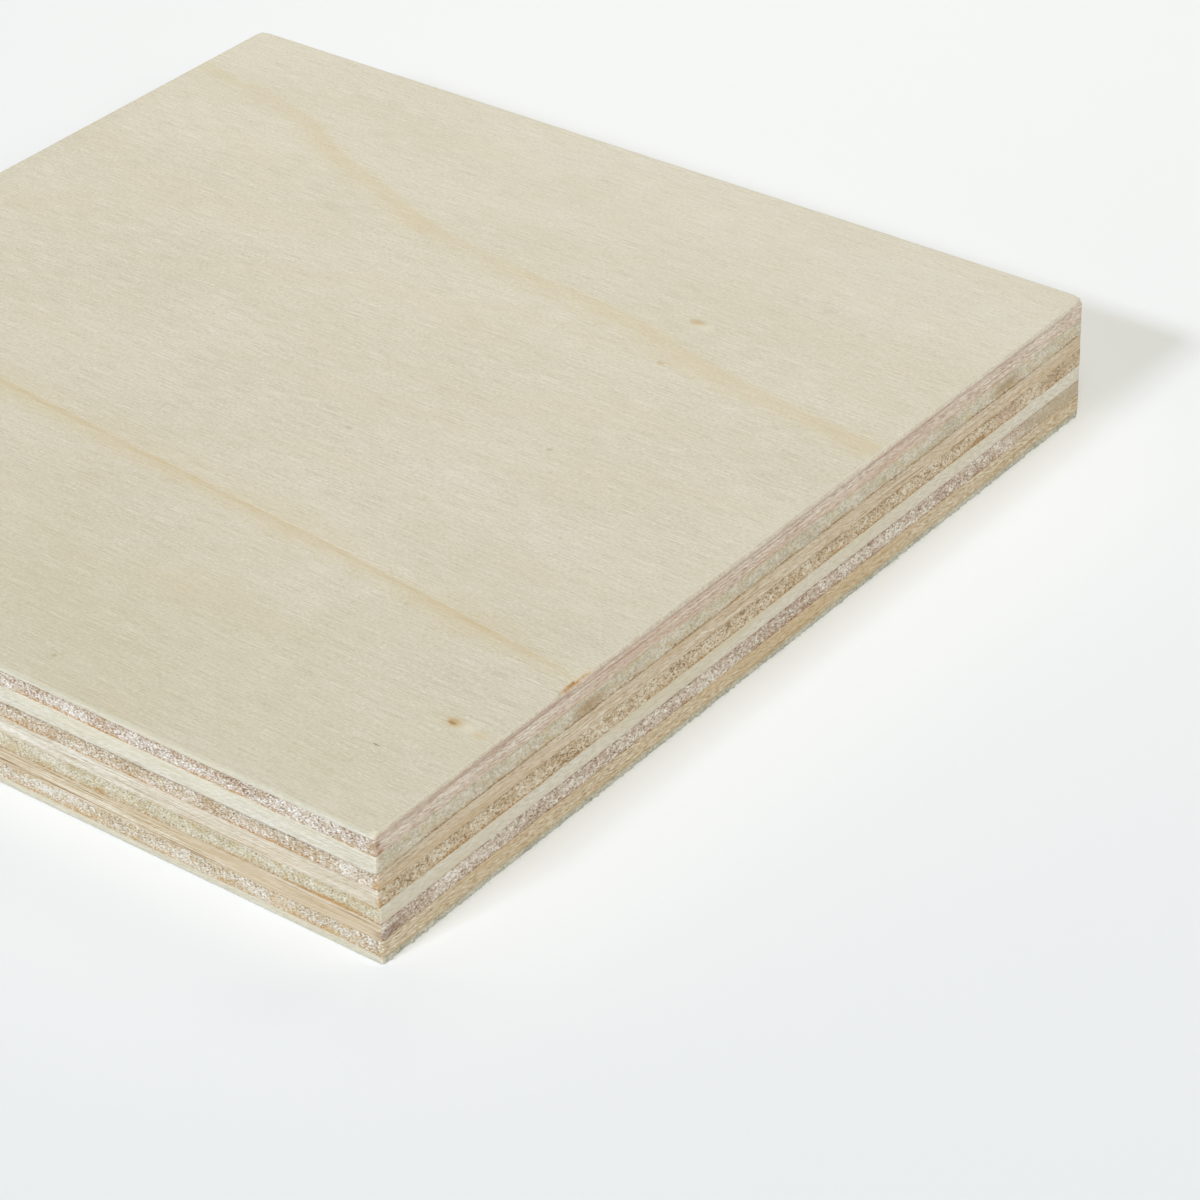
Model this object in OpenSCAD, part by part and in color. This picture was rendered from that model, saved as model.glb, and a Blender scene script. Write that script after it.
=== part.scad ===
// Plywood sheet, sawn square. Veneers are glued face to face, and the grain of each runs across its neighbours'.
// X runs along the grain of the face. The back lies on the floor plane, and the origin is at its middle.

/* [Sheet] */
// Side of the sheet along the grain of its face
sheet_length = 144; // [60:1:300]
// Side of the sheet across the grain of its face
sheet_width = 144; // [60:1:300]

/* [Lay-up] */
// Thickness of the face veneer, as sanded
face_t = 0.9; // [0.6:0.1:1.6]
// Thickness of a crossband, which has its grain along Y
crossband_t = 2.2; // [1.2:0.1:3.2]
// Thickness of a centre ply, which has its grain along X
centre_t = 2.4; // [1.2:0.1:3.2]
// Thickness of the back veneer, as sanded
back_t = 1.1; // [0.6:0.1:1.6]

/* [Edges] */
// Radius of the arris sanded along the outer edges of the face and of the back
arris_r = 0.3; // [0.1:0.05:0.5]
// Radius of the four upright corners
corner_r = 0.4; // [0.2:0.1:2]

/* [Hidden] */
$fn = 48;

// The inner plies from the back to the face: a crossband, then a centre ply, and so on, with a crossband last
crossbands = 4;
centre_plies = crossbands - 1;
pair_t = crossband_t + centre_t;
face_z = back_t + crossbands * crossband_t + centre_plies * centre_t;

// Room by which a tool body stands past the veneer that it trims
trim_room = 1;

// Tones of the woods in the sawn edge, from the back to the face
crossband_tones = ["#c8b28a", "#cdc5ab", "#c6b795", "#c9b39c"];
centre_ply_tones = ["#c9b48c", "#cfc2a2", "#d9d4bd"];
face_tone = "#d6ccb2";
back_tone = "#dbd6c2";

// Plan of every veneer: the sawn rectangle with its upright corners rounded.
module sheet_plan() {
    square([sheet_length - 2 * corner_r, sheet_width], center = true);
    square([sheet_length, sheet_width - 2 * corner_r], center = true);
    for (x = [-1, 1], y = [-1, 1])
        translate([x * (sheet_length / 2 - corner_r), y * (sheet_width / 2 - corner_r)])
            circle(corner_r);
}

// A veneer of the given thickness, standing on height z.
module veneer(z, thickness) {
    translate([0, 0, z])
        linear_extrude(thickness)
            sheet_plan();
}

// Section across an outer veneer that stands on zero: square below and rounded off at both upper edges.
module eased_section(across, thickness) {
    translate([-across / 2, 0])
        square([across, thickness - arris_r]);
    translate([-across / 2 + arris_r, 0])
        square([across - 2 * arris_r, thickness]);
    for (side = [-1, 1])
        translate([side * (across / 2 - arris_r), thickness - arris_r])
            circle(arris_r);
}

// An outer veneer that stands on zero, with the arris rounded off all round its upper side.
module eased_veneer(thickness) {
    intersection() {
        veneer(0, thickness);
        rotate([90, 0, 0])
            linear_extrude(sheet_width + 2 * trim_room, center = true)
                eased_section(sheet_length, thickness);
        rotate([90, 0, 90])
            linear_extrude(sheet_length + 2 * trim_room, center = true)
                eased_section(sheet_width, thickness);
    }
}

module back_veneer() {
    color(back_tone)
        translate([0, 0, back_t])
            mirror([0, 0, 1])
                eased_veneer(back_t);
}

module crossband(k) {
    color(crossband_tones[k - 1])
        veneer(back_t + (k - 1) * pair_t, crossband_t);
}

module centre_ply(k) {
    color(centre_ply_tones[k - 1])
        veneer(back_t + crossband_t + (k - 1) * pair_t, centre_t);
}

module face_veneer() {
    color(face_tone)
        translate([0, 0, face_z])
            eased_veneer(face_t);
}

back_veneer();
for (k = [1 : crossbands])
    crossband(k);
for (k = [1 : centre_plies])
    centre_ply(k);
face_veneer();
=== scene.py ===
import math
import random

import bmesh
import bpy
from mathutils import Matrix, Vector, noise


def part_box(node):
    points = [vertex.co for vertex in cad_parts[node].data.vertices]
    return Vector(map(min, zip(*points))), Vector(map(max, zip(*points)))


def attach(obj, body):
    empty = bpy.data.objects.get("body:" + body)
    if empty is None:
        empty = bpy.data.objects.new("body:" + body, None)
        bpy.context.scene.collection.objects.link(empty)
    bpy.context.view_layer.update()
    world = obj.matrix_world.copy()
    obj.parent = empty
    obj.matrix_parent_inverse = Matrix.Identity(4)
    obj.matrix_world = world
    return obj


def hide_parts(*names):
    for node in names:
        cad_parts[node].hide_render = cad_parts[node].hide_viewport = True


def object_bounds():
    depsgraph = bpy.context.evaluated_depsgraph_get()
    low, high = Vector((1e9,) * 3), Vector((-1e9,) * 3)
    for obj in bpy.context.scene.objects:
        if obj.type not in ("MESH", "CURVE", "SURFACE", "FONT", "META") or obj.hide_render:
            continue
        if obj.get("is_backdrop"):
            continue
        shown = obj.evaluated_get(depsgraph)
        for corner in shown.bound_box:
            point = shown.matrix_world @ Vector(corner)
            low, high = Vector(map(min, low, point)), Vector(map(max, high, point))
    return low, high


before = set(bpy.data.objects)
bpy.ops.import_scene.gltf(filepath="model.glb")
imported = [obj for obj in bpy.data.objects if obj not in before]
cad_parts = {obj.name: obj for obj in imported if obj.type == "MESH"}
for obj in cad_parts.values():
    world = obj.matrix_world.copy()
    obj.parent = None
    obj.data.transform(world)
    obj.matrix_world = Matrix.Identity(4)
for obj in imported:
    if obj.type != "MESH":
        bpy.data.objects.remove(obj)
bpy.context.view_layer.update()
mm = 0.001
flat = (0.0, 0.0, 0.0)               # for a pattern that isn't turned, or the middle of the bench


def linear(code):  # sRGB hex to the linear colour that shaders take
    parts = [int(code[i:i + 2], 16) / 255 for i in (1, 3, 5)]
    return (*[p / 12.92 if p <= 0.04045 else ((p + 0.055) / 1.055) ** 2.4 for p in parts], 1.0)


# Adds a node with its settings and links, and gives one of its outputs, or the node if it has none.
# A Mix node takes numbers at its inputs 2 and 3; it takes colours at 6 and 7 and gives one at its output 2.
def addNode(tree, kind, settings=None, inputs=None, out=0):
    node = tree.nodes.new("ShaderNode" + kind)
    for name, value in (settings or {}).items():
        if name != "stops":
            setattr(node, name, value)
            continue
        stops = node.color_ramp.elements
        for i, (spot, colour) in enumerate(value):  # a new ramp has two stops
            stop = stops[i] if i < 2 else stops.new(spot)
            stop.position = spot
            stop.color = colour
    for name, value in (inputs or {}).items():
        if isinstance(value, bpy.types.NodeSocket):
            tree.links.new(value, node.inputs[name])
        else:
            node.inputs[name].default_value = value
    return node.outputs[out] if len(node.outputs) else node


def newMaterial(name):  # an empty material and its node tree
    material = bpy.data.materials.new(name)
    material.use_nodes = True
    material.node_tree.nodes.clear()
    return material, material.node_tree


def makeObject(name, bm, materials):  # puts a finished mesh into the scene, at the origin
    mesh = bpy.data.meshes.new(name)
    bm.to_mesh(mesh)
    bm.free()
    for material in materials:
        mesh.materials.append(material)
    made = bpy.data.objects.new(name, mesh)
    bpy.context.scene.collection.objects.link(made)
    return made


# Camera: a long lens from the front right, turned a little, as the photograph was taken
cameraSetup = {
    "lens": 119.1,                   # mm
    "sensor": 36.0,                  # its width in mm
    "nearest": 10 * mm,              # what lies closer isn't seen
    "azimuth": 38.62,
    "elevation": 33.46,
    "roll": -1.93,
    "distance": 480.1 * mm,
    "aim": Vector((55.44, -10.98, 9.0)) * mm,
}


def placeBehind(aim, setup, roll=0.0):  # matrix of a camera or lamp that looks at the aim
    turn = Matrix.Rotation(math.radians(setup["azimuth"]), 4, "Z")
    tip = Matrix.Rotation(math.radians(90 - setup["elevation"]), 4, "X")
    lean = Matrix.Rotation(math.radians(roll), 4, "Z")
    return Matrix.Translation(aim) @ turn @ tip @ lean @ Matrix.Translation((0, 0, setup["distance"]))


def setCamera(setup):
    data = bpy.data.cameras.new("camera")
    data.lens = setup["lens"]
    data.sensor_width = setup["sensor"]
    data.clip_start = setup["nearest"]
    camera = bpy.data.objects.new("camera", data)
    camera.matrix_world = placeBehind(setup["aim"], setup, setup["roll"])
    bpy.context.scene.collection.objects.link(camera)
    bpy.context.scene.camera = camera


# Studio, in metres and watts: a pale bench in a dim white room, a low cool softbox on the left, a broad
# warm one behind the camera, and two small warm ones past the far side, of which one hangs over the bench
studio = {
    "benchSide": 8.0,
    "benchColour": "#f0f2f6",
    "benchRough": 0.9,
    "benchGloss": 0.2,
    "roomLight": 0.06,
    "roomSeen": 0.90,                # what the camera sees past the bench
    "lamps": (
        {"name": "softbox", "azimuth": -6.5, "elevation": 33.4, "distance": 10.0, "sides": (2.2, 0.92),
         "power": 517.0, "colour": "#e9f1ff"},
        {"name": "fill", "azimuth": 57.0, "elevation": 49.0, "distance": 12.0, "sides": (10.0, 10.0),
         "power": 1262.0, "colour": "#fffff6"},
        {"name": "backlight", "azimuth": 162.0, "elevation": 45.0, "distance": 0.9, "sides": (0.4, 0.4),
         "power": 0.75, "colour": "#fff4dc"},
        {"name": "overhead", "azimuth": 0.0, "elevation": 90.0, "distance": 0.3, "sides": (0.2, 0.2),
         "power": 0.17, "colour": "#fff4dc", "aim": (-0.08, 0.16, 0.0)},
    ),
}


def setStudio(setup):
    scene = bpy.context.scene
    scene.view_settings.view_transform = "Standard"
    world = bpy.data.worlds.new("room")
    world.use_nodes = True
    tree = world.node_tree
    tree.nodes.clear()
    seen = addNode(tree, "LightPath", out="Is Camera Ray")
    level = addNode(tree, "MapRange", {}, {
        "Value": seen, "To Min": setup["roomLight"], "To Max": setup["roomSeen"]})
    light = addNode(tree, "Background", {}, {"Color": (1.0, 1.0, 1.0, 1.0), "Strength": level})
    addNode(tree, "OutputWorld", {}, {"Surface": light})
    scene.world = world

    for lamp in setup["lamps"]:
        data = bpy.data.lights.new(lamp["name"], "AREA")
        data.shape = "RECTANGLE"
        data.size, data.size_y = lamp["sides"]
        data.energy = lamp["power"]
        data.color = linear(lamp["colour"])[:3]
        box = bpy.data.objects.new(lamp["name"], data)
        box.matrix_world = placeBehind(Vector(lamp.get("aim", flat)), lamp)
        box.visible_camera = False
        scene.collection.objects.link(box)

    bm = bmesh.new()
    bmesh.ops.create_grid(bm, x_segments=1, y_segments=1, size=setup["benchSide"] / 2)
    # Matt white board: even and without gloss, so it takes soft shadows and throws pale light back
    board, tree = newMaterial("matt white board")
    shader = addNode(tree, "BsdfPrincipled", {}, {
        "Base Color": linear(setup["benchColour"]), "Roughness": setup["benchRough"],
        "Specular IOR Level": setup["benchGloss"]})
    addNode(tree, "OutputMaterial", {}, {"Surface": shader})
    bench = makeObject("bench", bm, [board])
    bench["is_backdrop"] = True


setCamera(cameraSetup)
setStudio(studio)
print("studio and camera are set")

# The sheet as the frame has it, and its edges and top in mm
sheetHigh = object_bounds()[1]
halfLength, halfWidth = sheetHigh.x, sheetHigh.y
edgeX, edgeY, topZ = (side / mm for side in sheetHigh)

# How every veneer is meshed: coarse cells on its flat sides, a fine skin on its sawn edges
skin = {
    "cells": 48,                     # across each flat side
    "columns": 15,                   # of the skin, in one cell
    "rowHeight": 0.21 * mm,
    "cornerRadius": 0.4 * mm,
    "cornerSegments": 4,
    "arrisRadius": 0.3 * mm,
    "arrisSegments": 3,
    "flatNormal": 0.97,              # how level a face of the flat sides is at least
    "flatShare": 0.995,              # how far out its middle lies at most
}
band = 1.05 * skin["arrisRadius"]    # width of the rim that belongs to the sawn edge


def onRim(v):
    return abs(v.co.x) > halfLength - band or abs(v.co.y) > halfWidth - band


def rimEdges(bm, upright):  # edges of the rim, those that stand up or those that run along it
    return [e for e in bm.edges if all(onRim(v) for v in e.verts)
            and (abs(e.verts[0].co.z - e.verts[1].co.z) > skin["arrisRadius"]) == upright]


def roundOff(bm, edges, name):  # name is corner or arris
    bmesh.ops.bevel(bm, geom=edges, offset=skin[name + "Radius"], offset_type="OFFSET", affect="EDGES",
                    segments=skin[name + "Segments"], profile=0.5, material=-1)


def layUpVeneer(node, arris=0):  # closed slab; arris is 1 or -1 where the upper or lower rim is eased
    low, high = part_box(node)
    size = high - low
    bm = bmesh.new()
    bmesh.ops.create_cube(bm, size=1.0)
    bmesh.ops.scale(bm, vec=size, verts=bm.verts)
    bmesh.ops.translate(bm, vec=(low + high) / 2, verts=bm.verts)
    level = [e for e in bm.edges if abs(e.verts[0].co.z - e.verts[1].co.z) < size.z / 2]
    bmesh.ops.subdivide_edges(bm, edges=level, cuts=skin["cells"] - 1, use_grid_fill=True)
    corners = [e for e in bm.edges
               if all(abs(v.co.x) > halfLength - band and abs(v.co.y) > halfWidth - band for v in e.verts)]
    roundOff(bm, corners, "corner")
    if arris:
        bm.normal_update()
        rimHeight = high.z if arris > 0 else low.z
        rim = [e for e in bm.edges
               if all(abs(v.co.z - rimHeight) < size.z / 4 for v in e.verts)
               and sum(abs(f.normal.z) > 0.5 for f in e.link_faces) == 1]
        roundOff(bm, rim, "arris")
    cellSide = 2 * halfLength / skin["cells"]
    along = [e for e in rimEdges(bm, False) if e.calc_length() > cellSide / 3]
    bmesh.ops.subdivide_edges(bm, edges=along, cuts=skin["columns"] - 1, use_grid_fill=True)
    upright = rimEdges(bm, True)
    rows = max(3, round(upright[0].calc_length() / skin["rowHeight"]))
    bmesh.ops.subdivide_edges(bm, edges=upright, cuts=rows - 1, use_grid_fill=True)
    return bm, low, high


# Shape of the sawn edges, in mm: how far each seam wanders, how rough the cut is, and where wood has gone
sawCut = {
    "seamSlow": (26.0, 0.16),        # size and height of the slow waves of a glue seam
    "seamQuick": (2.6, 0.05),
    "seamFine": (0.45, 0.08),
    "seamShift": 0.37,               # from the waves of one seam to those of the next, in metres
    "plyStep": 0.05,                 # how far one ply may stand out past the next
    "stepShare": (-1, 0.4),          # of that step, from set back to standing out
    "seed": 40,                      # of the steps
    "easing": (0.3, 0.65),           # where on a rounded rim the cut begins, and how soon it is full
    "endRough": (0.5, 0.085),        # size and depth of the torn end grain
    "longRough": (0.5, 0.018),
    "sink": 0.6,                     # how far in the rough cut lies, as a share of its depth
    "endTear": (1.6, 0.16),          # size and depth of the deeper tears
    "tearShift": 0.3,                # from the waves of the rough cut, in metres
    "tearFrom": 0.25,                # wave that a tear begins at
    "lip": (0.6, 0.4),               # teeth along the lower rim of the cut ends
    "lipMore": 0.1,                  # makes the teeth wider than the gaps
    "lipFade": 1.4,                  # how soon they end up the ply
    "chip": (0.7, 0.6, 0.6),         # mean, swing and size of the roughness inside a nick
    "nicks": (
        {"at": (edgeX, -36.5, topZ), "reach": (0.7, 3.4, 0.8), "gone": (-0.28, 0.0, -0.3)},
        {"at": (edgeX, edgeY, topZ), "reach": (1.3, 1.3, 1.1), "gone": (-0.25, -0.25, -0.2)},
        {"at": (edgeX, -edgeY, topZ), "reach": (0.9, 0.9, 0.9), "gone": (-0.12, 0.1, -0.12)},
        {"at": (-edgeX, edgeY, topZ), "reach": (1.2, 1.2, 1.0), "gone": (0.2, -0.2, -0.18)},
    ),
}


def wave(x, y, z, size):  # smooth noise at a place in metres, with waves of a size in mm
    return noise.noise(Vector((x, y, z)) / (size * mm))


def seamLift(seam, x, y):  # height that a glue seam wanders from its level; the outer faces stay flat
    if seam in (0, len(layUp)):
        return 0.0
    shift = seam * sawCut["seamShift"]
    return mm * sum(rise * wave(x, y, shift, size)
                    for size, rise in (sawCut[name] for name in ("seamSlow", "seamQuick", "seamFine")))


def sawEdges(bm, ply, low, high, look):  # roughens the skin and notes where each point lies in its veneer
    height = bm.verts.layers.float.new("plyHeight")
    sawn = bm.verts.layers.float.new("sawn")
    radius = skin["cornerRadius"]
    core = Vector((halfLength - radius, halfWidth - radius))
    rng = random.Random(sawCut["seed"] + ply)
    steps = {side: sawCut["plyStep"] * rng.uniform(*sawCut["stepShare"]) for side in ("+x", "-x", "+y", "-y")}
    begins, spread = sawCut["easing"]
    tearSize, tear = sawCut["endTear"]
    toothSize, tooth = sawCut["lip"]
    chipMean, chipSwing, chipSize = sawCut["chip"]
    for v in bm.verts:
        x, y, z = v.co
        v[height] = (z - low.z) / (high.z - low.z)
        if not onRim(v):
            continue
        out = Vector((x - max(-core.x, min(core.x, x)), y - max(-core.y, min(core.y, y))))
        v[sawn] = min(1.0, max(0.0, (out.length / radius - begins) / spread))
        lift = (1 - v[height]) * seamLift(ply, x, y) + v[height] * seamLift(ply + 1, x, y)
        onX = abs(x) > abs(y)
        endGrain = onX == (look["grain"] == "x")
        side = ("+" if (x if onX else y) > 0 else "-") + ("x" if onX else "y")
        size, depth = sawCut["endRough"] if endGrain else sawCut["longRough"]
        push = steps[side] + look["torn"] * depth * (wave(x, y, z, size) - sawCut["sink"])
        if endGrain:
            deeper = wave(x + sawCut["tearShift"], y, z, tearSize) - sawCut["tearFrom"]
            push -= look["torn"] * tear * max(0.0, deeper)
        if endGrain and ply == 0:
            toothed = max(0.0, wave(x, y, 0.0, toothSize) + sawCut["lipMore"])
            push += tooth * toothed * max(0.0, 1 - sawCut["lipFade"] * v[height])
        v.co += Vector((*(out.normalized() * push * v[sawn] * mm), lift))
    for nick in sawCut["nicks"]:
        for v in bm.verts:
            offset = [(v.co[i] / mm - nick["at"][i]) / nick["reach"][i] for i in range(3)]
            near = 1 - Vector(offset).length_squared
            if near > 0:
                chipped = chipMean + chipSwing * wave(*v.co, chipSize)
                v.co += Vector(nick["gone"]) * mm * near * chipped


def onFlat(face):  # whether a face belongs to a flat side, inside its rim
    if abs(face.normal.z) <= skin["flatNormal"]:
        return False
    middle = face.calc_center_median()
    return max(abs(middle.x) / halfLength, abs(middle.y) / halfWidth) < skin["flatShare"]


def finishVeneer(name, bm, node, woods):  # woods: of the edges and, where it shows, of the flat sides
    bm.normal_update()
    sawn = bm.verts.layers.float["sawn"]
    for face in bm.faces:
        face.smooth = True
        if len(woods) > 1 and all(v[sawn] == 0.0 for v in face.verts):
            face.material_index = 1
    for e in bm.edges:  # the flat sides stay flat up to their rims
        if sum(onFlat(f) for f in e.link_faces) == 1:
            e.smooth = False
    piece = makeObject(name, bm, woods)
    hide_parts(node)
    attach(piece, "root")
    return piece


def grainFields(tree, place, sizes, seed):  # cloudy fields; each size gives x, y and z in mm, detail and turn
    fields = {}
    for name, (size, detail, turn) in sizes.items():
        cell = addNode(tree, "Mapping", {"vector_type": "TEXTURE"}, {
            "Vector": place, "Scale": Vector(size) * mm, "Rotation": turn, "Location": (seed, 0, 0)})
        fields[name] = addNode(tree, "TexNoise", {}, {
            "Vector": cell, "Scale": 1.0, "Detail": detail, "Roughness": 0.6})
    return fields


tonePlaces = {  # where the tones of a pattern lie, from its low values to its high ones
    "end": (0.32, 0.43, 0.53, 0.67),
    "long": (0.39, 0.50, 0.61),
    "face": (0.37, 0.50, 0.63),
    "fibre": (0.35, 0.50, 0.65),
}


def toneStops(kind, tones):  # stops of a colour ramp for tones given as hex
    return [(spot, linear(code)) for spot, code in zip(tonePlaces[kind], tones)]


# The rims of the blots of painted light and shade are as ragged as those of the stains
blotRim = {"size": 0.9, "shift": 0.5}  # how ragged a stain's rim is, in mm


# Lays real stains, and also the blots of painted light and painted shade that the face veneer lists among
# them
def addStainsAndPaintedLight(tree, place, colour, stainsAndPaintedLight):  # soft ragged blots, each at its place in mm
    rough = addNode(tree, "TexNoise", {}, {
        "Vector": place, "Scale": 1 / (blotRim["size"] * mm), "Detail": 3.0}, out="Color")
    ragged = addNode(tree, "VectorMath", {"operation": "MULTIPLY_ADD"}, {
        0: rough, 1: (blotRim["shift"] * mm,) * 3, 2: place})
    meanShift = Vector((blotRim["shift"] / 2 * mm,) * 3)
    for at, reach, code, amount in stainsAndPaintedLight:
        cell = addNode(tree, "Mapping", {"vector_type": "TEXTURE"}, {
            "Vector": ragged, "Location": Vector(at) * mm + meanShift, "Scale": Vector(reach) * mm})
        away = addNode(tree, "VectorMath", {"operation": "LENGTH"}, {0: cell}, out="Value")
        cover = addNode(tree, "MapRange", {"interpolation_type": "SMOOTHSTEP"}, {
            "Value": away, "From Min": 0.15, "From Max": 1.0, "To Min": amount, "To Max": 0.0})
        colour = addNode(tree, "Mix", {"data_type": "RGBA"}, {
            "Factor": cover, 6: colour, 7: linear(code)}, out=2)
    return colour


# Patterns of a sawn edge, in mm along the fibres, across them and upwards. Single fibres are too fine
# to show, so the finest patterns are as coarse as bundles of them.
edgePatterns = {
    "speck": ((4.0, 0.38, 0.21), 3.0, (-0.3, 0.0, 0.0)),
    "tuft": ((4.0, 0.9, 0.6), 2.0, (-0.3, 0.0, 0.0)),
    "patch": ((30.0, 7.0, 3.0), 2.0, flat),
    "bloom": ((20.0, 2.4, 1.1), 2.0, flat),
    "fibre": ((7.0, 0.2, 0.2), 2.0, flat),
    "band": ((45.0, 0.32, 0.32), 3.0, flat),
    "mottle": ((5.0, 1.0, 0.9), 3.0, flat),
    "fuzz": ((0.9, 0.22, 0.19), 3.0, flat),
    "vein": ((16.0, 0.34, 0.17), 1.0, flat),
    "ragged": ((0.7, 0.7, 0.5), 3.0, flat),
    "soak": ((7.0, 7.0, 40.0), 1.0, flat),
}
scores = {  # marks of the saw, which lean forward along one pair of edges and back along the other
    "x": ((1.5, 4.0, 0.22), 2.0, (0.0, -0.4, 0.0)),
    "y": ((1.5, 4.0, 0.22), 2.0, (0.0, 0.2, 0.0)),
}

# How much of these patterns goes into the tone of the grain, or into the rim of the glue
edgeBlend = {
    "tuft": 0.35,
    "patch": 0.35,
    "mottle": 0.3,                   # in the bands
    "band": 0.4,                     # in the streaks
    "score": 0.5,                    # in the fuzz
    "ragged": 0.3,
}

# How far glue reaches into a ply from its lower and its upper seam, as a share of the ply's height
glueReach = {
    "soak": (0.6, 0.5),
    "line": (0.17, 0.13),
}


def sawnEdge(tree, place, sawn, look):  # colour, roughness and relief of a veneer's sawn edge
    turn = 0.0 if look["grain"] == "x" else -math.pi / 2
    # Along x of the turned place the fibres run, so its own two ends show them cut across
    turned = addNode(tree, "Mapping", {}, {"Vector": place, "Rotation": (0, 0, turn)})
    split = addNode(tree, "SeparateXYZ", {}, {0: turned}).node.outputs
    along = addNode(tree, "Math", {"operation": "ABSOLUTE"}, {0: split["X"]})
    across = addNode(tree, "Math", {"operation": "ABSOLUTE"}, {0: split["Y"]})
    onEnd = addNode(tree, "Math", {"operation": "GREATER_THAN"}, {0: along, 1: across})
    isEnd = addNode(tree, "Math", {"operation": "MULTIPLY"}, {0: onEnd, 1: sawn})
    height = addNode(tree, "Attribute", {"attribute_name": "plyHeight"}, out="Fac")
    field = grainFields(tree, turned, {**edgePatterns, "score": scores[look["grain"]]}, look["seed"])

    # End grain: pale tufts and brown pits between them, in patches
    tufted = addNode(tree, "Math", {"operation": "MULTIPLY_ADD"}, {
        0: field["tuft"], 1: edgeBlend["tuft"], 2: field["speck"]})
    patchy = addNode(tree, "Math", {"operation": "MULTIPLY_ADD"}, {
        0: field["patch"], 1: edgeBlend["patch"], 2: tufted})
    tone = addNode(tree, "Math", {"operation": "SUBTRACT"}, {  # a field is 0.5 on average
        0: patchy, 1: (edgeBlend["tuft"] + edgeBlend["patch"]) / 2})
    endColour = addNode(tree, "ValToRGB", {"stops": toneStops("end", look["end"])}, {"Fac": tone})
    bloomed = addNode(tree, "MapRange", {}, {
        "Value": field["bloom"], "From Min": 0.48, "From Max": 0.7, "To Min": 0.0, "To Max": 0.6})
    endColour = addNode(tree, "Mix", {"data_type": "RGBA"}, {
        "Factor": bloomed, 6: endColour, 7: linear(look["bloom"])}, out=2)

    # Long grain: fuzzy wood with slanting saw scores, or fibres and bands along it, and a few dark veins
    banded = addNode(tree, "Mix", {"data_type": "FLOAT"}, {
        "Factor": edgeBlend["mottle"], 2: field["band"], 3: field["mottle"]})
    streak = addNode(tree, "Mix", {"data_type": "FLOAT"}, {
        "Factor": edgeBlend["band"], 2: field["fibre"], 3: banded})
    scored = addNode(tree, "Mix", {"data_type": "FLOAT"}, {
        "Factor": edgeBlend["score"], 2: field["fuzz"], 3: field["score"]})
    woven = addNode(tree, "Mix", {"data_type": "FLOAT"}, {"Factor": look["combed"], 2: scored, 3: streak})
    longColour = addNode(tree, "ValToRGB", {"stops": toneStops("long", look["long"])}, {"Fac": woven})
    blushed = addNode(tree, "MapRange", {}, {
        "Value": field["patch"], "From Min": 0.42, "From Max": 0.68, "To Min": 0.0, "To Max": 0.55})
    longColour = addNode(tree, "Mix", {"data_type": "RGBA"}, {
        "Factor": blushed, 6: longColour, 7: linear(look["blush"])}, out=2)
    veined = addNode(tree, "MapRange", {"interpolation_type": "SMOOTHSTEP"}, {
        "Value": field["vein"], "From Min": 0.2 + 0.1 * look["veins"], "From Max": 0.32 + 0.1 * look["veins"],
        "To Min": look["veins"], "To Max": 0.0})
    longColour = addNode(tree, "Mix", {"data_type": "RGBA"}, {
        "Factor": veined, 6: longColour, 7: linear(look["vein"])}, out=2)
    colour = addNode(tree, "Mix", {"data_type": "RGBA"}, {
        "Factor": isEnd, 6: longColour, 7: endColour}, out=2)

    # Glue: a thin ragged line at the seams, and a wider stain where it soaked into the end grain
    uneven = addNode(tree, "Math", {"operation": "MULTIPLY_ADD"}, {
        0: field["ragged"], 1: edgeBlend["ragged"], 2: -edgeBlend["ragged"] / 2})
    fromBelow = addNode(tree, "Math", {"operation": "ADD"}, {0: height, 1: uneven})
    fromAbove = addNode(tree, "Math", {"operation": "SUBTRACT"}, {0: 1.0, 1: fromBelow})
    strength = addNode(tree, "MapRange", {}, {
        "Value": field["soak"], "From Min": 0.36, "From Max": 0.6, "To Min": 0.15, "To Max": 1.0})
    pitted = addNode(tree, "MapRange", {}, {
        "Value": field["speck"], "From Min": 0.35, "From Max": 0.65, "To Min": 1.4, "To Max": 0.3})
    for name, depths in glueReach.items():
        for seamSide, depth, amount, code in zip((fromBelow, fromAbove), depths, look[name], look["glue"]):
            near = addNode(tree, "MapRange", {"interpolation_type": "SMOOTHSTEP"}, {
                "Value": seamSide, "From Min": 0.0, "From Max": depth, "To Min": 1.0, "To Max": 0.0})
            onGrain = addNode(tree, "MapRange", {}, {
                "Value": isEnd, "To Min": 0.2 * amount, "To Max": amount})  # long grain takes up little
            laid = addNode(tree, "Math", {"operation": "MULTIPLY"}, {0: strength, 1: onGrain})
            grained = addNode(tree, "Math", {"operation": "MULTIPLY"}, {0: laid, 1: pitted})
            cover = addNode(tree, "Math", {"operation": "MULTIPLY", "use_clamp": True}, {0: near, 1: grained})
            colour = addNode(tree, "Mix", {"data_type": "RGBA"}, {
                "Factor": cover, 6: colour, 7: linear(code)}, out=2)
    rough = addNode(tree, "MapRange", {}, {"Value": isEnd, "To Min": 0.72, "To Max": 0.9})
    relief = addNode(tree, "Mix", {"data_type": "FLOAT"}, {"Factor": isEnd, 2: woven, 3: field["speck"]})
    return colour, rough, relief


# Patterns of a sanded face, in mm along the fibres, across them and upwards, again with bundles for fibres
facePatterns = {
    "cloud": ((34.0, 17.0, 17.0), 2.0, flat),
    "tint": ((24.0, 8.0, 8.0), 2.0, flat),
    "figure": ((40.0, 1.2, 1.2), 2.0, flat),
    "fibre": ((4.5, 0.15, 0.15), 2.0, flat),
    "dash": ((0.6, 0.15, 0.15), 2.0, flat),
    "fleck": ((2.0, 0.16, 0.16), 1.0, flat),
    "shred": ((7.0, 0.35, 0.35), 2.0, flat),
}
faceBlend = {  # how much of these goes into the tone
    "dash": 0.5,
    "figure": 0.07,
    "cloud": 0.1,
}
faceRelief = 0.35                    # of a sawn edge's relief
ringCrest = 4.0                      # how much narrower the core of a ring is than its sides


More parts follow.
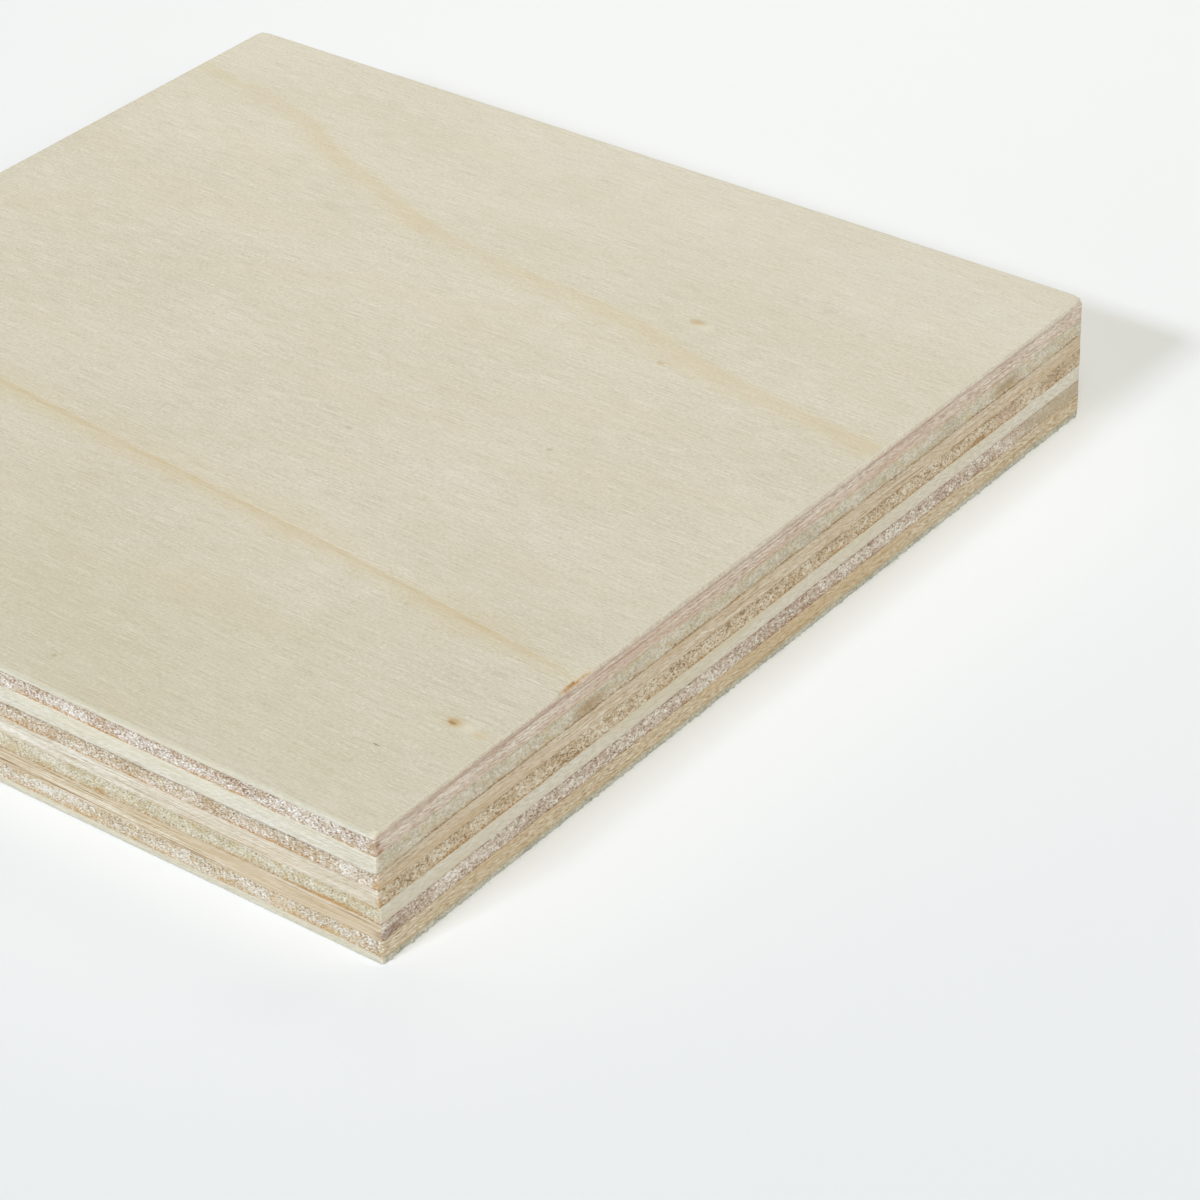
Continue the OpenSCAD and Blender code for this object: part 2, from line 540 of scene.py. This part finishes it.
def drawRing(tree, place, shred, colour, ring):  # a growth ring that the knife met: a line with soft sides
    split = addNode(tree, "SeparateXYZ", {}, {0: place}).node.outputs
    share = addNode(tree, "MapRange", {}, {
        "Value": split["X"], "From Min": -halfLength, "From Max": halfLength})
    curves = {}
    for name, low, high in (("route", -edgeY, edgeY), ("strength", 0.0, 1.0)):
        curves[name] = addNode(tree, "FloatCurve", {}, {"Value": share})
        mapping = curves[name].node.mapping
        points = mapping.curves[0].points
        for i, (x, value) in enumerate(ring[name]):
            spot = ((x + edgeX) / (2 * edgeX), (value - low) / (high - low))
            if i < 2:
                points[i].location = spot
            else:
                points.new(*spot)
        mapping.update()
    line = addNode(tree, "MapRange", {}, {
        "Value": curves["route"], "To Min": -halfWidth, "To Max": halfWidth})
    gap = addNode(tree, "Math", {"operation": "SUBTRACT"}, {0: split["Y"], 1: line})
    below, above = ring["reach"]
    spread = addNode(tree, "MapRange", {}, {"Value": gap, "From Min": -below * mm, "From Max": above * mm})
    stops = [((spot + below) / (below + above), (grey, grey, grey, 1.0)) for spot, grey in ring["profile"]]
    profile = addNode(tree, "ValToRGB", {"stops": stops}, {"Fac": spread})
    profile.node.color_ramp.interpolation = "EASE"
    broken = addNode(tree, "MapRange", {}, {
        "Value": shred, "From Min": 0.3, "From Max": 0.7, "To Min": 0.65, "To Max": 1.25})
    drawn = addNode(tree, "Math", {"operation": "MULTIPLY"}, {0: curves["strength"], 1: broken})
    cover = addNode(tree, "Math", {"operation": "MULTIPLY", "use_clamp": True}, {0: profile, 1: drawn})
    crest = addNode(tree, "Math", {"operation": "POWER"}, {0: profile, 1: ringCrest})
    core = addNode(tree, "Math", {"operation": "MULTIPLY", "use_clamp": True}, {0: crest, 1: drawn})
    for factor, code in ((cover, ring["halo"]), (core, ring["core"])):
        colour = addNode(tree, "Mix", {"data_type": "RGBA"}, {
            "Factor": factor, 6: colour, 7: linear(code)}, out=2)
    return colour


faceDrift = {"size": (40.0, 12.0, 12.0), "shift": 0.6}  # how the figure wanders across the sheet, in mm


def sandedFace(tree, place, look):  # colour, roughness and relief of a sanded face, its figure along x
    waver = addNode(tree, "Mapping", {"vector_type": "TEXTURE"}, {
        "Vector": place, "Scale": Vector(faceDrift["size"]) * mm, "Location": (look["seed"], 0, 0)})
    drift = addNode(tree, "TexNoise", {}, {"Vector": waver, "Scale": 1.0, "Detail": 3.0}, out="Color")
    wandering = addNode(tree, "VectorMath", {"operation": "MULTIPLY_ADD"}, {
        0: drift, 1: (0.0, faceDrift["shift"] * mm, 0.0), 2: place})
    centred = addNode(tree, "VectorMath", {"operation": "SUBTRACT"}, {
        0: wandering, 1: (0.0, faceDrift["shift"] / 2 * mm, 0.0)})
    field = grainFields(tree, centred, facePatterns, look["seed"])
    dashed = addNode(tree, "Mix", {"data_type": "FLOAT"}, {
        "Factor": faceBlend["dash"], 2: field["fibre"], 3: field["dash"]})
    fine = addNode(tree, "Mix", {"data_type": "FLOAT"}, {
        "Factor": faceBlend["figure"], 2: dashed, 3: field["figure"]})
    tone = addNode(tree, "Mix", {"data_type": "FLOAT"}, {
        "Factor": faceBlend["cloud"], 2: fine, 3: field["cloud"]})
    colour = addNode(tree, "ValToRGB", {"stops": toneStops("face", look["face"])}, {"Fac": tone})
    warm = addNode(tree, "MapRange", {}, {
        "Value": field["tint"], "From Min": 0.4, "From Max": 0.7, "To Min": 0.0, "To Max": 0.22})
    colour = addNode(tree, "Mix", {"data_type": "RGBA"}, {
        "Factor": warm, 6: colour, 7: linear(look["faceWarm"])}, out=2)
    pored = addNode(tree, "MapRange", {"interpolation_type": "SMOOTHSTEP"}, {
        "Value": field["fleck"], "From Min": 0.24, "From Max": 0.36, "To Min": 0.4, "To Max": 0.0})
    colour = addNode(tree, "Mix", {"data_type": "RGBA"}, {
        "Factor": pored, 6: colour, 7: linear(look["pore"])}, out=2)
    for ring in look["rings"]:
        colour = drawRing(tree, centred, field["shred"], colour, ring)
    rough = addNode(tree, "MapRange", {}, {"Value": dashed, "To Min": 0.58, "To Max": 0.74})
    relief = addNode(tree, "Math", {"operation": "MULTIPLY"}, {0: dashed, 1: faceRelief})
    return colour, rough, relief


# Bare rotary-cut poplar: matt and pale, furry where the saw crossed its fibres, smooth where it was sanded
def veneerWood(name, look, edge):
    material, tree = newMaterial(name)
    place = addNode(tree, "TexCoord", out="Object")
    if "face" in look:  # the outer veneers show a sanded side
        sanded = sandedFace(tree, place, look)
        colour, rough, relief = sanded
    if edge:
        sawn = addNode(tree, "Attribute", {"attribute_name": "sawn"}, out="Fac")
        colour, rough, relief = sawnEdge(tree, place, sawn, look)
    if edge and "face" in look:  # an eased arris goes over from one to the other
        colour = addNode(tree, "Mix", {"data_type": "RGBA"}, {
            "Factor": sawn, 6: sanded[0], 7: colour}, out=2)
        rough = addNode(tree, "Mix", {"data_type": "FLOAT"}, {"Factor": sawn, 2: sanded[1], 3: rough})
        relief = addNode(tree, "Mix", {"data_type": "FLOAT"}, {"Factor": sawn, 2: sanded[2], 3: relief})
    # stains, and on the face veneer also painted light and painted shade
    colour = addStainsAndPaintedLight(tree, place, colour, look["stainsAndPaintedLight"])
    bump = addNode(tree, "Bump", {}, {"Height": relief, "Strength": 0.7, "Distance": 0.06 * mm})
    shader = addNode(tree, "BsdfPrincipled", {}, {
        "Base Color": colour, "Roughness": rough, "Normal": bump, "IOR": 1.5, "Specular IOR Level": 0.3})
    addNode(tree, "OutputMaterial", {}, {"Surface": shader})
    return material


# The two growth rings on the face. Route and strength give y in mm and a share at each x; profile gives
# how dark the ring is at each distance from its route, within its reach. The two ends come first.
faceRings = (
    {"route": ((-72, 58.5), (72, 24.8), (-48, 53.6), (-35, 47.3), (-24, 43.4), (-12, 38.6), (6, 35.4),
               (24, 33.8), (44, 28.8)),
     "strength": ((-72, 0.2), (72, 0.3), (-52, 0.24), (-40, 0.37), (-28, 0.32), (-18, 0.36), (-4, 0.2),
                  (12, 0.3), (30, 0.3)),
     "reach": (5.0, 3.0),
     "profile": ((-5.0, 0.0), (3.0, 0.0), (-3.0, 0.32), (-1.0, 0.6), (0.4, 0.66), (1.4, 0.15)),
     "halo": "#d5c08a", "core": "#c29f5c"},
    {"route": ((-72, -21.5), (72, -35.8), (-30, -25.2), (8, -28.7), (40, -31.8)),
     "strength": ((-72, 0.4), (72, 0.2), (-30, 0.36), (0, 0.42), (34, 0.38), (50, 0.45), (62, 0.34)),
     "reach": (4.0, 5.0),
     "profile": ((-4.0, 0.0), (5.0, 0.0), (-2.0, 0.34), (-1.0, 0.54), (-0.5, 0.74), (-0.05, 0.77),
                 (0.18, 0.3), (2.0, 0.2)),
     "halo": "#d6be86", "core": "#b9985c"},
)

# Pin knots, broad tints, a worn arris and discoloured spots, and also painted light and shade: a pale patch
# that lightens the back of the face, and grey bands of painted shade along the two near arrises that dull the
# highlight they catch. Place and reach in mm, colour, how far it covers
faceStainsAndPaintedLight = (
    # painted light: a pale patch that lightens the back of the face, where more light falls
    ((10.0, 80.0, topZ), (170.0, 60.0, 9.0), "#dcdcd4", 0.17),
    ((20.0, -60.0, topZ), (90.0, 32.0, 9.0), "#c3b78b", 0.15),
    ((24.0, -46.0, topZ), (14.0, 6.0, 9.0), "#dbc8a8", 0.2),
    ((-26.0, 35.0, topZ), (5.0, 2.0, 9.0), "#c6bfaa", 0.22),
    ((46.7, 49.8, topZ), (1.6, 1.3, 9.0), "#c0b9a3", 0.4),
    ((53.9, 47.1, topZ), (1.0, 0.8, 9.0), "#c0b9a3", 0.35),
    ((67.6, -50.8, topZ), (2.2, 1.3, 9.0), "#e9e3d2", 0.5),
    ((69.6, -51.0, topZ), (1.6, 1.0, 9.0), "#d8c398", 0.4),
    ((65.8, -50.6, topZ), (1.9, 1.5, 9.0), "#cdb283", 0.6),
    ((65.6, -50.6, topZ), (1.1, 0.9, 9.0), "#bb9862", 0.5),
    ((65.5, -50.9, topZ), (1.0, 0.4, 9.0), "#a07a46", 0.75),
    ((35.9, 37.2, topZ), (2.4, 1.3, 9.0), "#e4decc", 0.5),
    ((34.4, 37.8, topZ), (1.8, 1.0, 9.0), "#c0a676", 0.6),
    ((36.7, 26.6, topZ), (0.9, 0.6, 9.0), "#c7ab85", 0.6),
    ((38.2, 1.6, topZ), (0.6, 0.5, 9.0), "#b3a487", 0.6),
    ((14.2, -8.7, topZ), (0.9, 0.5, 9.0), "#bfae92", 0.6),
    ((19.5, -67.0, topZ), (0.6, 0.5, 9.0), "#b39b76", 0.6),
    ((61.4, -59.0, topZ), (0.8, 0.16, 9.0), "#8a5a4c", 0.85),
    # painted shade: grey bands along the two near arrises of the face that dull the highlight they catch
    ((edgeX - 0.05, 0.0, topZ - 0.05), (0.5, 400.0, 0.4), "#c6c0b1", 0.45),
    ((0.0, 0.05 - edgeY, topZ - 0.08), (400.0, 0.5, 0.45), "#bcb59e", 0.6),
    ((edgeX - 0.15, -36.4, topZ - 0.1), (0.6, 4.4, 0.7), "#c29350", 0.5),
    ((edgeX - 0.2, -36.4, topZ - 0.22), (0.42, 3.6, 0.4), "#a87631", 0.9),
    ((edgeX, 0.0, topZ - 0.9), (0.8, 400.0, 0.5), "#d2c1b2", 0.6),
    ((edgeX, -50.0, topZ - 0.62), (0.8, 40.0, 0.2), "#a5785e", 0.4),
    ((edgeX, 40.0, topZ - 0.66), (0.8, 60.0, 0.2), "#b08d74", 0.12),
)

# The veneers from the underside up. Each gives its grain, how torn its end grain is and how combed its
# long grain, the tones of the end grain (pits, shade, wood, tufts, bloom), of the long grain (streaks, wood,
# sheen, blush) and of its veins, and the glue at its lower and upper seams: its colours, how far its line
# shows and how far it soaked in. The two outer ones also give the tones of their sanded sides.
layUp = [
    {"node": "back_veneer", "slot": "back_veneer", "grain": "x", "seed": 0.05, "torn": 1.5, "combed": 0.45,
     "end": ("#9b978a", "#afab9d", "#c2beaf", "#d4d0c3"), "bloom": "#c8c4b4",
     "long": ("#b7b29e", "#d0cbb9", "#e6e3d6"), "blush": "#cec3a7", "vein": "#a1967e", "veins": 0.3,
     "glue": ("#a98f66", "#b3945f"), "line": (0.0, 0.4), "soak": (0.0, 0.1),
     "face": ("#d0c6ad", "#dad1bb", "#e5dcc9"), "faceWarm": "#d8c7a6", "pore": "#baa98b", "rings": (),
     "stainsAndPaintedLight": (((edgeX, 0.0, 1.15), (1.2, 500.0, 0.5), "#bda678", 0.75),)},
    {"node": "crossband_1", "slot": "crossband", "grain": "y", "seed": 0.16, "torn": 1.0, "combed": 0.18,
     "end": ("#9a805b", "#bcac90", "#d4ccbf", "#ecebe6"), "bloom": "#c7ad7e",
     "long": ("#9f8461", "#ccbca2", "#eadfcb"), "blush": "#c5a97d", "vein": "#997b53", "veins": 0.6,
     "glue": ("#bd9350", "#a98458"), "line": (0.7, 0.4), "soak": (0.5, 0.0),
     "stainsAndPaintedLight": ()},
    {"node": "centre_ply_1", "slot": "centre_ply", "grain": "x", "seed": 0.27, "torn": 1.1, "combed": 0.7,
     "end": ("#8f7563", "#b6a392", "#cfc3b5", "#ece8e0"), "bloom": "#b89d89",
     "long": ("#a3885a", "#d1c2a6", "#ebe4d5"), "blush": "#c9b392", "vein": "#8a6538", "veins": 0.9,
     "glue": ("#94683e", "#86604a"), "line": (0.7, 0.9), "soak": (0.15, 0.1),
     "stainsAndPaintedLight": (((edgeX, -70.4, 4.0), (2.0, 3.4, 1.1), "#6f4a30", 0.55),
                ((edgeX, 67.0, 4.5), (3.0, 16.0, 2.6), "#b8aa8e", 0.75))},
    {"node": "crossband_2", "slot": "crossband", "grain": "y", "seed": 0.38, "torn": 0.8, "combed": 0.12,
     "end": ("#947f58", "#bbae90", "#cdc5af", "#e4dfcf"), "bloom": "#c0a874",
     "long": ("#c5bba8", "#d6cfc0", "#e4dfd4"), "blush": "#d0c4a8", "vein": "#baad8f", "veins": 0.3,
     "glue": ("#a9772f", "#a08a5c"), "line": (0.8, 0.4), "soak": (0.2, 0.0),
     "stainsAndPaintedLight": (((65.5, -edgeY, 5.95), (6.5, 3.0, 0.55), "#b98840", 0.6),
                ((30.0, -edgeY, 6.0), (1.6, 3.0, 0.6), "#b07c3c", 0.6))},
    {"node": "centre_ply_2", "slot": "centre_ply", "grain": "x", "seed": 0.49, "torn": 1.1, "combed": 0.6,
     "end": ("#876a4c", "#b5a083", "#d1c3ad", "#e3dac9"), "bloom": "#c0a784",
     "long": ("#ae9b79", "#d8d0be", "#f4efe7"), "blush": "#d5c4a8", "vein": "#ae926c", "veins": 0.5,
     "glue": ("#a5752a", "#8f6f40"), "line": (0.9, 0.8), "soak": (0.25, 0.2),
     "stainsAndPaintedLight": (((edgeX, -edgeY, 8.6), (0.8, 0.8, 1.0), "#b58a50", 0.6),
                ((edgeX, 47.0, 8.4), (3.0, 3.0, 0.7), "#9c7443", 0.7),
                ((edgeX, 54.0, 9.2), (3.0, 4.0, 1.3), "#c3a897", 0.6),
                ((edgeX, 67.0, 9.2), (3.0, 12.0, 1.6), "#b19878", 0.45))},
    {"node": "crossband_3", "slot": "crossband", "grain": "y", "seed": 0.60, "torn": 1.0, "combed": 0.42,
     "end": ("#886842", "#b39e81", "#d1c6b5", "#f1ede5"), "bloom": "#b69a70",
     "long": ("#a88f6c", "#cfbfa8", "#e6dccb"), "blush": "#c8ad87", "vein": "#9d7b53", "veins": 0.6,
     "glue": ("#b98234", "#80663a"), "line": (0.95, 0.85), "soak": (0.25, 0.3),
     "stainsAndPaintedLight": (((edgeX, -edgeY, 11.0), (0.8, 0.8, 1.2), "#b98a4c", 0.6),)},
    {"node": "centre_ply_3", "slot": "centre_ply", "grain": "x", "seed": 0.71, "torn": 0.7, "combed": 0.55,
     "end": ("#b0a691", "#c2b9a6", "#d0c7b5", "#ded6c9"), "bloom": "#c4ae84",
     "long": ("#bfb7a0", "#dbd5c6", "#f2efe6"), "blush": "#d8cfb2", "vein": "#b8ac8e", "veins": 0.2,
     "glue": ("#987036", "#9a8258"), "line": (1.0, 0.3), "soak": (0.2, 0.0),
     "stainsAndPaintedLight": (((edgeX, -34.5, 13.6), (3.0, 4.0, 1.4), "#a3835a", 0.6),
                ((edgeX, 53.5, 13.6), (3.0, 5.0, 1.3), "#a08358", 0.65))},
    {"node": "crossband_4", "slot": "crossband", "grain": "y", "seed": 0.82, "torn": 1.0, "combed": 0.4,
     "end": ("#8c6a4d", "#baa995", "#dad2c8", "#fbf9f5"), "bloom": "#bb9f7b",
     "long": ("#a18370", "#d4c5b5", "#f3ece2"), "blush": "#c8aa95", "vein": "#a06f5a", "veins": 0.65,
     "glue": ("#bd8838", "#94703f"), "line": (0.95, 0.8), "soak": (0.2, 0.25),
     "stainsAndPaintedLight": (((edgeX, -71.6, 16.3), (1.0, 0.8, 0.9), "#8a5a2b", 0.7),
                ((edgeX, -71.2, 15.2), (1.2, 0.8, 0.6), "#a06f38", 0.65),
                ((edgeX, -48.0, 17.0), (3.0, 20.0, 0.4), "#a57762", 0.45),
                ((edgeX, -12.0, 17.0), (3.0, 15.0, 0.4), "#ab8270", 0.35),
                ((edgeX, 30.0, 17.0), (3.0, 24.0, 0.4), "#ab8270", 0.35))},
    {"node": "face_veneer", "slot": "face_veneer", "grain": "x", "seed": 0.93, "torn": 0.25, "combed": 0.6,
     "end": ("#c3b5a2", "#d1c4b2", "#ddd2c1", "#e8dfd1"), "bloom": "#d3c2aa",
     "long": ("#c6bfac", "#dbd6c6", "#e9e6db"), "blush": "#d7cdb4", "vein": "#ada286", "veins": 0.3,
     "glue": ("#95684c", "#95684c"), "line": (0.8, 0.0), "soak": (0.2, 0.0),
     "face": ("#c6bea7", "#d8d1c1", "#e9e4d9"), "faceWarm": "#d9c9ac", "pore": "#bcad90", "rings": faceRings,
     "stainsAndPaintedLight": faceStainsAndPaintedLight},
]

for ply, look in enumerate(layUp):
    outer = {"back_veneer": -1, "face_veneer": 1}.get(look["node"], 0)
    bm, low, high = layUpVeneer(look["node"], outer)
    sawEdges(bm, ply, low, high, look)
    woods = [veneerWood("sawn poplar veneer " + look["node"], look, True)]
    if outer:
        woods.append(veneerWood("sanded poplar veneer " + look["node"], look, False))
    piece = finishVeneer(look["node"] + "_wood", bm, look["node"], woods)
    print(piece.name, len(piece.data.polygons), "faces")

# Fibres that the saw tore along the lower rim of the cut ends; sizes in mm
fringe = {
    "ends": ((1, 420), (-1, 260)),   # which end, and how many fibres
    "inset": 0.8,                    # bare stretch at each corner
    "tear": (1.7, 0.8),              # size of the torn stretches, and how torn the rim is on average
    "tearShift": 3.0,                # from the waves of one end to those of the other
    "least": 0.1,                    # how far every fibre stands out
    "length": (0.1, 0.45),           # how much further, where the rim is torn
    "radius": 0.035,
    "stout": (0.6, 1.3),             # share of that radius
    "taper": 0.3,
    "root": (0.2, 0.75),             # height above the bench
    "sideways": (-0.9, 0.9),         # lean of a fibre, as a share of its way out
    "upward": (-0.25, 0.2),
    "seed": 11,
    "spot": 0.4,                     # size of its paler and darker spots
    "tones": ("#a5a394", "#c9c6b8", "#e6e4da"),
}


def tearFibres(setup):  # one mesh of small spikes half sunk in the wood, longer where the tear is worse
    rng = random.Random(setup["seed"])
    span = edgeY - setup["inset"]
    tearSize, torn = setup["tear"]
    bm = bmesh.new()
    for end, count in setup["ends"]:
        for _ in range(count):
            y = rng.uniform(-span, span)
            worse = max(0.0, torn + wave(0.0, y * mm, end * setup["tearShift"] * mm, tearSize))
            length = setup["least"] + worse * rng.uniform(*setup["length"])
            radius = setup["radius"] * rng.uniform(*setup["stout"])
            root = Vector((end * edgeX, y, rng.uniform(*setup["root"])))
            aim = Vector((end, rng.uniform(*setup["sideways"]), rng.uniform(*setup["upward"])))
            turn = Vector((0, 0, 1)).rotation_difference(aim)
            place = Matrix.Scale(mm, 4) @ Matrix.Translation(root) @ turn.to_matrix().to_4x4()
            bmesh.ops.create_cone(bm, cap_ends=True, segments=3, radius1=radius,
                                  radius2=setup["taper"] * radius, depth=2 * length, matrix=place)
    return bm


def tornFibre(name, setup):  # grey-green fibre ends, each a little paler or darker than the next
    material, tree = newMaterial(name)
    place = addNode(tree, "TexCoord", out="Object")
    shade = addNode(tree, "TexNoise", {}, {
        "Vector": place, "Scale": 1 / (setup["spot"] * mm), "Detail": 1.0})
    colour = addNode(tree, "ValToRGB", {"stops": toneStops("fibre", setup["tones"])}, {"Fac": shade})
    shader = addNode(tree, "BsdfPrincipled", {}, {
        "Base Color": colour, "Roughness": 0.9, "Specular IOR Level": 0.2})
    addNode(tree, "OutputMaterial", {}, {"Surface": shader})
    return material


bm = tearFibres(fringe)
bm.normal_update()
fibres = makeObject("torn_fibres", bm, [tornFibre("torn poplar fibre", fringe)])
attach(fibres, "root")
print(fibres.name, len(fibres.data.polygons), "faces")
